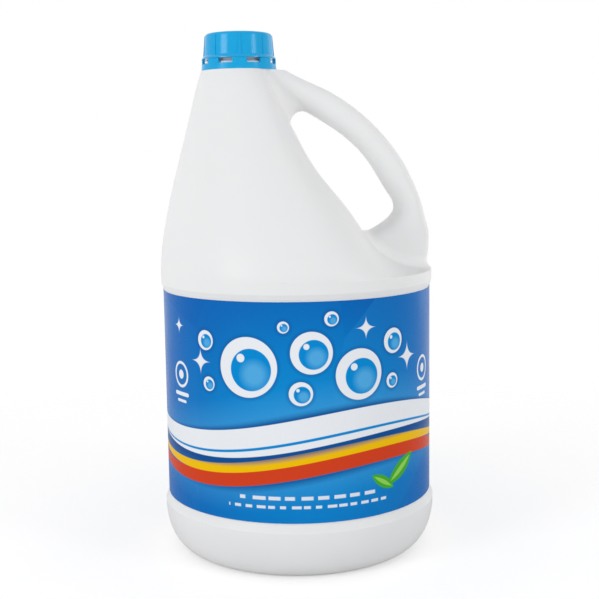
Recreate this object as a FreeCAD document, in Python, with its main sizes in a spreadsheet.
# A one-gallon bleach bottle: a blow-moulded jug whose handle is a hollow bar of the same wall, with
# an off-centre neck, a ribbed screw cap, the tamper band that stays on the neck, the foam liner
# inside the cap, and a film label wrapped round the recessed panel.
# Millimetres, +Z up. The origin is on the panel's axis, on the surface that the bottle stands on.
# The handle reaches towards +X, the neck leans towards -X, and the label's front faces -Y.
import FreeCAD, Part
import math
import os
import Sketcher
from FreeCAD import Placement, Rotation, Vector

doc = FreeCAD.newDocument("bleach_bottle")

# Driving dimensions. Each row is an alias, its value and what it sets.
SIZES = [
    ("wall", 1.0, "blown wall"),
    ("ledge_wall", 1.5, "blown wall under the tamper band"),
    ("floor_wall", 1.6, "blown wall under the bottle"),
    ("panel_radius", 78.7, "recessed label panel"),
    ("heel_proud", 2.2, "widest ring above the heel, proud of the panel"),
    ("heel_depth", 16.5, "how far the heel turns in"),
    ("heel_rise", 27.0, "height of the heel's curve"),
    ("ring_width", 10.0, "flat ring that the bottle stands on"),
    ("push_up", 6.0, "hollow in the middle of the base"),
    ("lower_step", 4.2, "height of the slope from the heel's ring in to the panel"),
    ("panel_foot", 33.2, "lower end of the panel"),
    ("panel_height", 122.9, "length of the panel"),
    ("shoulder_proud", 1.4, "crest of the shoulder, proud of the panel"),
    ("crest_rise", 8.9, "from the panel's top to the crest's upper edge"),
    ("shoulder_rise", 116.0, "from the crest to the neck ledge"),
    ("neck_offset", 31.6, "neck axis from the panel's axis"),
    ("ledge_radius", 22.1, "top of the shoulder, under the band"),
    ("back_roundness", 30.0, "how softly the neck side leaves the crest"),
    ("grip_roundness", 10.0, "how softly the handle side leaves the crest"),
    ("grip_softness", 4.5, "how sharply the finger wall meets the cone"),
    ("crest_step", 2.8, "height of the slope from the panel out to the crest"),
    ("finger_room", 26.5, "finger gap between the body wall and the handle bar"),
    ("bar_thickness", 16.6, "handle bar, seen from the side"),
    ("bar_width", 24.0, "handle bar, across the hand"),
    ("bar_squareness", 2.3, "2 is an oval bar, more is a squarer one"),
    ("foot_inset", 0.5, "handle foot inside the crest"),
    ("web_height", 38.0, "where the foot starts to spread, above the crest"),
    ("web_depth", 14.0, "height in which the foot has spread"),
    ("web_reach", 20.0, "how far the foot spreads towards the body"),
    ("foot_spread", 4.0, "how far the foot spreads to each side"),
    ("upper_root_fillet", 7.0, "handle root at the neck"),
    ("lower_root_fillet", 7.0, "handle root at the shoulder"),
    ("neck_radius", 17.05, "neck wall between the threads"),
    ("neck_bore", 15.4, "inside of the neck"),
    ("neck_height", 18.4, "from the ledge to the lip"),
    ("lip_bevel", 0.5, "edge of the lip"),
    ("collar_radius", 18.3, "neck inside the band"),
    ("collar_height", 3.0, "from the ledge to the locking bead"),
    ("bead_radius", 19.7, "locking bead that holds the band"),
    ("bead_height", 2.8, "locking bead"),
    ("thread_lead", 8.0, "rise of the two-start thread in one turn"),
    ("thread_depth", 1.2, "height of a thread ridge"),
    ("thread_root", 1.8, "width of a thread ridge at its root"),
    ("thread_crest", 0.9, "width of a thread ridge at its crest"),
    ("thread_gap", 0.3, "running clearance of the thread"),
    ("thread_start", 8.6, "middle of the ridge at its lower end, above the ledge"),
    ("neck_thread_length", 7.2, "rise of each ridge on the neck"),
    ("cap_thread_length", 4.0, "rise of each ridge in the cap"),
    ("band_radius", 21.9, "outside of the band at its foot"),
    ("band_top_radius", 21.5, "outside of the band at its top"),
    ("band_wall", 1.5, "wall of the band"),
    ("band_height", 3.5, "closed part of the band"),
    ("window_height", 2.7, "open slots between the band and the cap"),
    ("window_angle", 23.0, "one slot round the neck, in degrees"),
    ("hook_height", 0.9, "hook that catches under the bead"),
    ("tear_gap", 0.15, "torn line between the bridges and the cap"),
    ("skirt_radius", 20.1, "cap above its flare"),
    ("skirt_top_radius", 19.3, "cap under its top edge"),
    ("flare_height", 2.2, "flare at the cap's foot"),
    ("cap_wall_top", 1.6, "top of the cap"),
    ("cap_edge", 1.7, "rounding round the cap's top"),
    ("liner_thickness", 1.0, "foam liner"),
    ("liner_rim", 0.4, "liner beyond the neck's lip"),
    ("rib_width", 2.2, "grip ribs"),
    ("rib_height", 0.55, "grip ribs, proud of the skirt"),
    ("rib_count", 8, "grip ribs and slots"),
    ("label_thickness", 0.2, "printed film"),
    ("label_gap", 0.1, "glue under the film"),
    ("label_margin", 1.0, "panel left bare above and below the label"),
    ("label_lap", 8.0, "overlap of the label's ends, in degrees"),
]

sheet = doc.addObject("Spreadsheet::Sheet", "Sizes")
for row, (alias, value, meaning) in enumerate(SIZES, start=1):
    sheet.set(f"A{row}", alias)
    sheet.set(f"B{row}", str(value))
    sheet.set(f"C{row}", meaning)
    sheet.setAlias(f"B{row}", alias)
doc.recompute()


def size(alias):
    return float(getattr(sheet, alias))


UP = Vector(0, 0, 1)
ACROSS = Vector(0, 1, 0)

panel_top = size("panel_foot") + size("panel_height")
crest_z = panel_top + size("crest_rise")
ledge_z = crest_z + size("shoulder_rise")
lip_z = ledge_z + size("neck_height")
neck_x = -size("neck_offset")
heel_radius = size("panel_radius") + size("heel_proud")
shoulder_radius = size("panel_radius") + size("shoulder_proud")
THREAD_BURIED = 0.25
CAP_THREAD_TURN = 0.1
TRIMMED_OFF = 12.0


def failed(shape, name):
    if shape.isNull() or not shape.isValid() or shape.Volume <= 0:
        raise RuntimeError(f"{name} has no valid shape")
    return shape


def closed_curve(points):
    """A smooth closed wire. Every wire of a loft has the same even parameters, so its skin is lean."""
    even = [float(step) for step in range(len(points) + 1)]
    curve = Part.BSplineCurve()
    curve.interpolate(Points=points, PeriodicFlag=True, Parameters=even)
    return Part.Wire([curve.toShape()])


def settled(rise, total, softness):
    """How far a shoulder line has come in at a rise above the crest: it leaves the crest upright
    and runs on into a straight slope, as a hyperbola does."""
    full = size("shoulder_rise")
    slope = total / (math.hypot(full, softness) - softness)
    return slope * (math.hypot(rise, softness) - softness)


# The handle's middle line in the XZ plane, as shares of its reach from the neck axis and of the
# shoulder's rise, measured down from the ledge.
HANDLE_LINE = [(0.100, 0.020), (0.308, 0.097), (0.468, 0.168), (0.690, 0.310), (0.863, 0.503),
               (0.945, 0.655), (0.988, 0.793), (1.000, 0.871), (0.990, 0.950), (0.900, 1.130)]


def handle_line():
    reach = shoulder_radius - size("bar_thickness") / 2 - size("foot_inset") - neck_x
    curve = Part.BSplineCurve()
    curve.interpolate([Vector(neck_x + across * reach, 0, ledge_z - down * size("shoulder_rise"))
                       for across, down in HANDLE_LINE])
    return curve


def at_share(curve, share):
    return curve.FirstParameter + share * (curve.LastParameter - curve.FirstParameter)


def inward(curve, parameter):
    """The unit vector in the XZ plane from the handle's middle line towards the finger gap."""
    along = curve.tangent(parameter)[0]
    return ACROSS.cross(along).normalize()


# The wall behind the fingers. Beside the handle it is given as places along the handle's line, each
# with its share of the finger room. Under the neck and down the ramp it is given as distances in
# millimetres, out and down from the ledge's edge, and in and up from the crest.
WALL_BESIDE = [(0.676, 0.91), (0.600, 0.98), (0.500, 1.01), (0.400, 1.02), (0.312, 0.95), (0.225, 0.76)]
WALL_UNDER_NECK = [(5.0, 26.0), (1.6, 14.0), (-0.6, -4.0)]
WALL_RAMP = [(-8.0, 0.5), (16.0, 3.5), (27.0, 8.0), (35.0, 14.5)]


def finger_wall():
    """The body's wall behind the fingers, in the XZ plane, from the crest up to the neck."""
    line = handle_line()
    wall_points = [Vector(shoulder_radius - inward_by, 0, crest_z + up) for inward_by, up in WALL_RAMP]
    for share, room in WALL_BESIDE:
        parameter = at_share(line, share)
        beside = size("bar_thickness") / 2 + size("finger_room") * room
        wall_points.append(line.value(parameter) + inward(line, parameter) * beside)
    ledge_edge = neck_x + size("ledge_radius")
    wall_points += [Vector(ledge_edge + out, 0, ledge_z - down) for out, down in WALL_UNDER_NECK]
    curve = Part.BSplineCurve()
    curve.interpolate(wall_points)
    return curve


def height_on(curve, height):
    """The X of a rising curve at a height, found by halving."""
    low, high = curve.FirstParameter, curve.LastParameter
    for _ in range(40):
        middle = (low + high) / 2
        if curve.value(middle).z < height:
            low = middle
        else:
            high = middle
    return curve.value(low).x


SECTION_POINTS = 24


def section_angles():
    return [math.pi + 2 * math.pi * step / SECTION_POINTS for step in range(SECTION_POINTS)]


def round_section(radius, height):
    return closed_curve([Vector(radius * math.cos(angle), radius * math.sin(angle), height)
                         for angle in section_angles()])


def shoulder_section(height, wall, inset):
    """One level of the shoulder: a circle whose middle drifts from the panel's axis to the neck's,
    pressed flat where the finger wall cuts across it."""
    rise = height - crest_z
    neck_side = -shoulder_radius + settled(
        rise, shoulder_radius + neck_x - size("ledge_radius"), size("back_roundness"))
    grip_side = shoulder_radius - settled(
        rise, shoulder_radius - neck_x - size("ledge_radius"), size("grip_roundness"))
    middle = (neck_side + grip_side) / 2
    radius = (grip_side - neck_side) / 2 - inset
    flat = height_on(wall, height) - inset - middle
    softness = size("grip_softness")
    points = []
    for angle in section_angles():
        reach = radius
        if rise > 0 and math.cos(angle) > 0.02:
            to_wall = flat / math.cos(angle)
            reach = (radius ** -softness + to_wall ** -softness) ** (-1 / softness)
        points.append(Vector(middle + reach * math.cos(angle), reach * math.sin(angle), height))
    return closed_curve(points)


# Levels of the shoulder's sections above the crest, as shares of its rise.
SHOULDER_LEVELS = [0.03, 0.07, 0.13, 0.21, 0.32, 0.5, 0.75, 1.0]


def shoulder_solid(inset):
    """A slope and an upright band up to the crest, then the leaning cone, which runs on past the
    ledge. The ledge is cut after the handle is on."""
    wall = finger_wall()
    label_edge = size("panel_radius") + size("label_gap") + size("label_thickness")
    crest = round_section(shoulder_radius - inset, crest_z)
    band = Part.makeLoft([round_section(label_edge - inset, panel_top),
                          round_section(shoulder_radius - inset, panel_top + size("crest_step")),
                          crest], True, True)
    heights = [crest_z + share * size("shoulder_rise") for share in SHOULDER_LEVELS]
    heights.append(ledge_z + TRIMMED_OFF)
    cone = Part.makeLoft([crest] + [shoulder_section(level, wall, inset) for level in heights], True, False)
    return band.fuse(cone)


HANDLE_RINGS = [0.0, 0.1, 0.22, 0.36, 0.5, 0.61, 0.69, 0.75, 0.81, 0.89, 1.0]
RING_POINTS = 12


def handle_solid(inset):
    """The hollow bar, with a foot that spreads towards the body like a web."""
    line = handle_line()
    web_start = crest_z + size("web_height")
    rings = []
    for share in HANDLE_RINGS:
        parameter = at_share(line, share)
        place = line.value(parameter)
        aside = inward(line, parameter)
        spread = min(max((web_start - place.z) / size("web_depth"), 0), 1)
        half_thick = size("bar_thickness") / 2 - inset
        half_width = size("bar_width") / 2 - inset + size("foot_spread") * spread ** 2
        web = size("web_reach") * spread ** 3
        place += aside * web
        half_thick += web
        ring = []
        for step in range(RING_POINTS):
            angle = 2 * math.pi * (step + 0.5) / RING_POINTS
            in_plane, out_plane = math.cos(angle), math.sin(angle)
            squareness = size("bar_squareness")
            reach = (abs(in_plane) ** squareness + abs(out_plane) ** squareness) ** (-1 / squareness)
            ring.append(place + aside * (half_thick * reach * in_plane)
                        + ACROSS * (half_width * reach * out_plane))
        rings.append(closed_curve(ring))
    return Part.makeLoft(rings, True, False)


def lower_solid(inset, floor_inset):
    """Base, heel and label panel, turned round the panel's axis."""
    heel = heel_radius - inset
    heel_top = size("heel_rise")
    heel_in = size("heel_depth") - inset
    heel_up = heel_top - floor_inset
    ring_edge = heel - heel_in
    ring_start = ring_edge - size("ring_width")
    middle = Vector(0, 0, size("push_up") + floor_inset)
    dome_side = Vector(ring_start * 0.5, 0, floor_inset + size("push_up") * 0.72)
    corner = Vector(ring_start, 0, floor_inset)
    edges = [Part.Arc(middle, dome_side, corner).toShape()]
    edges.append(Part.LineSegment(corner, Vector(ring_edge, 0, floor_inset)).toShape())
    centre = Vector(ring_edge, 0, heel_top)
    if heel_up > heel_in:
        oval = Part.Ellipse(centre + Vector(0, 0, -heel_up), centre + Vector(heel_in, 0, 0), centre)
        edges.append(Part.ArcOfEllipse(oval, 0, math.pi / 2).toShape())
    panel = size("panel_radius") - inset
    upright = [Vector(heel, 0, heel_top), Vector(heel, 0, size("panel_foot") - size("lower_step")),
               Vector(panel, 0, size("panel_foot")), Vector(panel, 0, panel_top), Vector(0, 0, panel_top), middle]
    edges += [Part.LineSegment(start, end).toShape() for start, end in zip(upright, upright[1:])]
    face = Part.Face(Part.Wire(Part.__sortEdges__(edges)))
    return face.revolve(Vector(0, 0, 0), UP, 360)


def below(shape, height):
    room = 2 * heel_radius + size("bar_width")
    block = Part.makeBox(2 * room, 2 * room, room, Vector(-room, -room, height))
    return shape.cut(block).Solids[0]


def root_edges(solid, lowest, highest):
    """The edges between two heights where the handle's skin meets the shoulder's. Both skins are
    blown curves, and the shoulder's own level edges are left out."""
    roots = []
    for edge in solid.Edges:
        extent = edge.BoundBox
        if extent.ZMin < lowest or extent.ZMax > highest or extent.ZLength < size("wall"):
            continue
        faces = [face for face in solid.Faces if any(other.isSame(edge) for other in face.Edges)]
        if [face.Surface.TypeId for face in faces] == ["Part::GeomBSplineSurface"] * 2:
            roots.append(edge)
    return roots


def jug_outside():
    body = lower_solid(0, 0).fuse(shoulder_solid(0))
    jug = body.fuse(handle_solid(0)).Solids[0]
    halfway = (crest_z + ledge_z) / 2
    jug = jug.makeFillet(size("upper_root_fillet"), root_edges(jug, halfway, ledge_z + TRIMMED_OFF))
    jug = jug.makeFillet(size("lower_root_fillet"), root_edges(jug, crest_z, halfway))
    return below(jug, ledge_z)


def jug_hollow():
    ceiling = ledge_z - size("ledge_wall")
    body = lower_solid(size("wall"), size("floor_wall")).fuse(shoulder_solid(size("wall")))
    return below(body.fuse(handle_solid(size("wall"))), ceiling)


def shape_feature(name, shape):
    feature = doc.addObject("Part::Feature", name)
    feature.Shape = failed(shape, name)
    return feature


def bind(thing, **expressions):
    for prop, expression in expressions.items():
        thing.setExpression(prop.replace("__", "."), expression)


LEDGE = "(Sizes.panel_foot + Sizes.panel_height + Sizes.crest_rise + Sizes.shoulder_rise)"
BORE = "(Sizes.neck_radius + Sizes.thread_depth + Sizes.thread_gap)"
CAP_FOOT = "(Sizes.band_height + Sizes.window_height + Sizes.tear_gap)"
CAP_CEILING = "(Sizes.neck_height + Sizes.liner_thickness)"
CAP_TOP = "(Sizes.neck_height + Sizes.liner_thickness + Sizes.cap_wall_top)"


def on_neck(thing, height="0"):
    """Puts a piece on the neck's axis, at a height above the ledge."""
    bind(thing, Placement__Base__x="-Sizes.neck_offset", Placement__Base__z=f"{LEDGE} + {height}")


def turned(name, outline):
    """A body turned round its own Z axis from an outline of (radius, height) expressions."""
    body = doc.addObject("PartDesign::Body", name)
    sketch = body.newObject("Sketcher::SketchObject", name + "_outline")
    plane = next(f for f in body.Origin.OriginFeatures if f.Role == "XZ_Plane")
    sketch.AttachmentSupport = [(plane, "")]
    sketch.MapMode = "FlatFace"
    count = len(outline)
    guesses = [Vector(10 + 3 * math.cos(-2 * math.pi * k / count), 10 + 3 * math.sin(-2 * math.pi * k / count), 0)
               for k in range(count)]
    for k in range(count):
        sketch.addGeometry(Part.LineSegment(guesses[k], guesses[(k + 1) % count]), False)
    for k in range(count):
        sketch.addConstraint(Sketcher.Constraint("Coincident", k, 2, (k + 1) % count, 1))
    for k, (radius, height) in enumerate(outline):
        for kind, expression, letter in (("DistanceX", radius, "r"), ("DistanceY", height, "z")):
            start = guesses[k].x if kind == "DistanceX" else guesses[k].y
            index = sketch.addConstraint(Sketcher.Constraint(kind, -1, 1, k, 1, start))
            sketch.renameConstraint(index, f"{letter}{k}")
            sketch.setExpression(f"Constraints.{letter}{k}", expression)
    turn = body.newObject("PartDesign::Revolution", name + "_turn")
    turn.Profile = sketch
    turn.ReferenceAxis = (sketch, ["V_Axis"])
    turn.Angle = 360
    doc.recompute()
    return body


def rounded(body, name, radius_expression, wanted):
    """Rounds the circular edges of a turned body that lie at the wanted (radius, height) places."""
    tip = body.Tip
    names = []
    for number, edge in enumerate(tip.Shape.Edges, start=1):
        if edge.Curve.TypeId != "Part::GeomCircle":
            continue
        for radius, height in wanted:
            if abs(edge.Curve.Radius - radius) < 1e-4 and abs(edge.Curve.Center.z - height) < 1e-4:
                names.append(f"Edge{number}")
    fillet = body.newObject("PartDesign::Fillet", name)
    fillet.Base = (tip, sorted(set(names)))
    fillet.setExpression("Radius", radius_expression)
    doc.recompute()
    return fillet


def thread_ridges(base_radius, crest_radius, first_height, rise, start_angle):
    """Two right-hand helical ridges, half a turn apart, on a wall at base_radius."""
    buried = math.copysign(THREAD_BURIED, base_radius - crest_radius)
    root = base_radius + buried
    half_root, half_crest = size("thread_root") / 2, size("thread_crest") / 2
    corners = [Vector(root, 0, -half_root), Vector(crest_radius, 0, -half_crest),
               Vector(crest_radius, 0, half_crest), Vector(root, 0, half_root)]
    ridges = []
    for start in range(2):
        helix = Part.makeHelix(size("thread_lead"), rise, base_radius)
        profile = Part.makePolygon(corners + corners[:1])
        ridge = Part.Wire(helix.Edges).makePipeShell([profile], True, True)
        ridge.rotate(Vector(0, 0, 0), UP, start_angle + 180 * start)
        ridge.translate(Vector(0, 0, first_height))
        ridges.append(ridge)
    return Part.makeCompound(ridges)


def on_neck_axis(feature):
    feature.Placement = Placement(Vector(neck_x, 0, ledge_z), Rotation())
    return feature


def make_bottle():
    outside = shape_feature("jug_outside", jug_outside())
    hollow = shape_feature("jug_hollow", jug_hollow())
    finish = turned("neck_finish", [
        ("0", "-Sizes.ledge_wall / 2"),
        ("Sizes.neck_bore + 1", "-Sizes.ledge_wall / 2"),
        ("Sizes.collar_radius", "0"),
        ("Sizes.collar_radius", "Sizes.collar_height"),
        ("Sizes.bead_radius", "Sizes.collar_height"),
        ("Sizes.bead_radius", "Sizes.collar_height + Sizes.bead_height * 0.45"),
        ("Sizes.neck_radius", "Sizes.collar_height + Sizes.bead_height"),
        ("Sizes.neck_radius", "Sizes.neck_height - Sizes.lip_bevel"),
        ("Sizes.neck_radius - Sizes.lip_bevel", "Sizes.neck_height"),
        ("0", "Sizes.neck_height")])
    on_neck(finish)
    ridges = on_neck_axis(shape_feature("neck_thread", thread_ridges(
        size("neck_radius"), size("neck_radius") + size("thread_depth"),
        size("thread_start"), size("neck_thread_length"), 0)))
    solid = doc.addObject("Part::MultiFuse", "filled_jug")
    solid.Shapes = [outside, finish, ridges]
    bore = doc.addObject("Part::Cylinder", "neck_bore")
    bind(bore, Radius="Sizes.neck_bore", Height="Sizes.neck_height + 2 * Sizes.ledge_wall + 2")
    on_neck(bore, "-2 * Sizes.ledge_wall")
    empty = doc.addObject("Part::MultiFuse", "jug_space")
    empty.Shapes = [hollow, bore]
    bottle = doc.addObject("Part::Cut", "bottle")
    bottle.Base = solid
    bottle.Tool = empty
    for joined in (solid, empty, bottle):
        joined.Refine = False
    return bottle


def make_screw_cap():
    shell = turned("cap_shell", [
        ("0", CAP_CEILING),
        (BORE, CAP_CEILING),
        (BORE, CAP_FOOT),
        ("Sizes.band_top_radius", CAP_FOOT),
        ("Sizes.band_top_radius", f"{CAP_FOOT} + Sizes.flare_height * 0.3"),
        ("Sizes.skirt_radius", f"{CAP_FOOT} + Sizes.flare_height"),
        ("Sizes.skirt_top_radius", CAP_TOP),
        ("0", CAP_TOP)])
    top = size("neck_height") + size("liner_thickness") + size("cap_wall_top")
    rounded(shell, "cap_edge", "Sizes.cap_edge", [(size("skirt_top_radius"), top)])
    on_neck(shell)
    pieces = [shell]
    for number in range(int(size("rib_count"))):
        rib = doc.addObject("Part::Wedge", f"rib_{number + 1}")
        foot = f"({CAP_FOOT} + Sizes.flare_height * 0.3)"
        bind(rib, Ymin="0", Ymax=f"{CAP_TOP} - Sizes.cap_edge * 0.7 - {foot}",
             Xmin=f"{BORE} + Sizes.rib_height / 2", Xmax="Sizes.skirt_radius + Sizes.rib_height",
             X2min=f"{BORE} + Sizes.rib_height / 2", X2max="Sizes.skirt_top_radius + Sizes.rib_height / 2",
             Zmin="-Sizes.rib_width / 2", Zmax="Sizes.rib_width / 2",
             Z2min="-Sizes.rib_width / 3", Z2max="Sizes.rib_width / 3")
        turn = Rotation(UP, -90 + number * 360 / size("rib_count"))
        rib.Placement = Placement(Vector(), turn * Rotation(Vector(1, 0, 0), 90))
        on_neck(rib, foot)
        pieces.append(rib)
    below_neck_ridge = size("thread_root") / 2 + size("thread_crest") / 2 + size("thread_gap") / 2
    bore = size("neck_radius") + size("thread_depth") + size("thread_gap")
    first = size("thread_start") - below_neck_ridge + size("thread_lead") * CAP_THREAD_TURN
    pieces.append(on_neck_axis(shape_feature("cap_thread", thread_ridges(
        bore, bore - size("thread_depth"), first, size("cap_thread_length"), 360 * CAP_THREAD_TURN))))
    cap = doc.addObject("Part::MultiFuse", "screw_cap")
    cap.Shapes = pieces
    return cap


def make_tamper_band():
    """The ring left on the neck: a hook under the locking bead, and short bridges up to the cap."""
    clear_bead = "(Sizes.bead_radius + Sizes.thread_gap)"
    hook_top = "(Sizes.collar_height - 0.5)"
    ring = turned("band_ring", [
        ("Sizes.band_radius - Sizes.band_wall", "0"),
        ("Sizes.band_radius", "0"),
        ("Sizes.band_top_radius", "Sizes.band_height"),
        ("Sizes.band_top_radius", "Sizes.band_height + Sizes.window_height"),
        (clear_bead, "Sizes.band_height + Sizes.window_height"),
        (clear_bead, hook_top),
        ("Sizes.collar_radius + Sizes.thread_gap", hook_top),
        ("Sizes.collar_radius + Sizes.thread_gap", f"{hook_top} - Sizes.hook_height")])
    on_neck(ring)
    cuts = []
    for number in range(int(size("rib_count"))):
        cut = doc.addObject("Part::Cylinder", f"slot_{number + 1}")
        bind(cut, Radius="Sizes.band_radius * 1.2", Height="Sizes.window_height * 1.5", Angle="Sizes.window_angle")
        middle = -90 + (number + 0.5) * 360 / size("rib_count")
        cut.Placement = Placement(Vector(), Rotation(UP, middle - size("window_angle") / 2))
        on_neck(cut, "Sizes.band_height")
        cuts.append(cut)
    slots = doc.addObject("Part::MultiFuse", "band_slots")
    slots.Shapes = cuts
    band = doc.addObject("Part::Cut", "tamper_band")
    band.Base = ring
    band.Tool = slots
    return band


def make_cap_liner():
    liner = doc.addObject("Part::Cylinder", "cap_liner")
    bind(liner, Radius="Sizes.neck_radius + Sizes.liner_rim", Height="Sizes.liner_thickness")
    on_neck(liner, "Sizes.neck_height")
    return liner


def make_label():
    """Film wrapped once round the panel, with a thin lap at the back."""
    inner = "(Sizes.panel_radius + Sizes.label_gap)"
    tall = "(Sizes.panel_height - 2 * Sizes.label_margin)"
    foot = "Sizes.panel_foot + Sizes.label_margin"
    film = doc.addObject("Part::Cylinder", "label_film")
    bind(film, Radius=f"{inner} + Sizes.label_thickness", Height=tall, Placement__Base__z=foot)
    lap = doc.addObject("Part::Cylinder", "label_lap")
    bind(lap, Radius=f"{inner} + 2 * Sizes.label_thickness", Height=tall, Angle="Sizes.label_lap")
    lap.Placement = Placement(Vector(), Rotation(UP, 90))
    bind(lap, Placement__Base__z=foot)
    both = doc.addObject("Part::MultiFuse", "label_outside")
    both.Shapes = [film, lap]
    inside = doc.addObject("Part::Cylinder", "label_inside")
    bind(inside, Radius=inner, Height=tall, Placement__Base__z=foot)
    label = doc.addObject("Part::Cut", "label")
    label.Base = both
    label.Tool = inside
    return label


SUBPARTS = {"bottle": make_bottle(), "screw_cap": make_screw_cap(), "tamper_band": make_tamper_band(),
            "cap_liner": make_cap_liner(), "label": make_label()}
doc.recompute()

for thing in doc.Objects:
    if "Invalid" in thing.State or "Error" in thing.State:
        raise RuntimeError(f"{thing.Name} failed: {thing.State}")
for node, thing in SUBPARTS.items():
    thing.Label = node
    failed(thing.Shape, node)
os.makedirs("parts", exist_ok=True)
for node, thing in SUBPARTS.items():
    thing.Shape.exportStep(f"parts/{node}.step")
    solids = len(thing.Shape.Solids)
    print(f"{node}: {solids} solid, {thing.Shape.Volume / 1000:.2f} cm3")
space = doc.getObject("jug_space").Shape.Volume / 1e6
print(f"brimful {space:.3f} litres, height {max(t.Shape.BoundBox.ZMax for t in SUBPARTS.values()):.1f} mm")
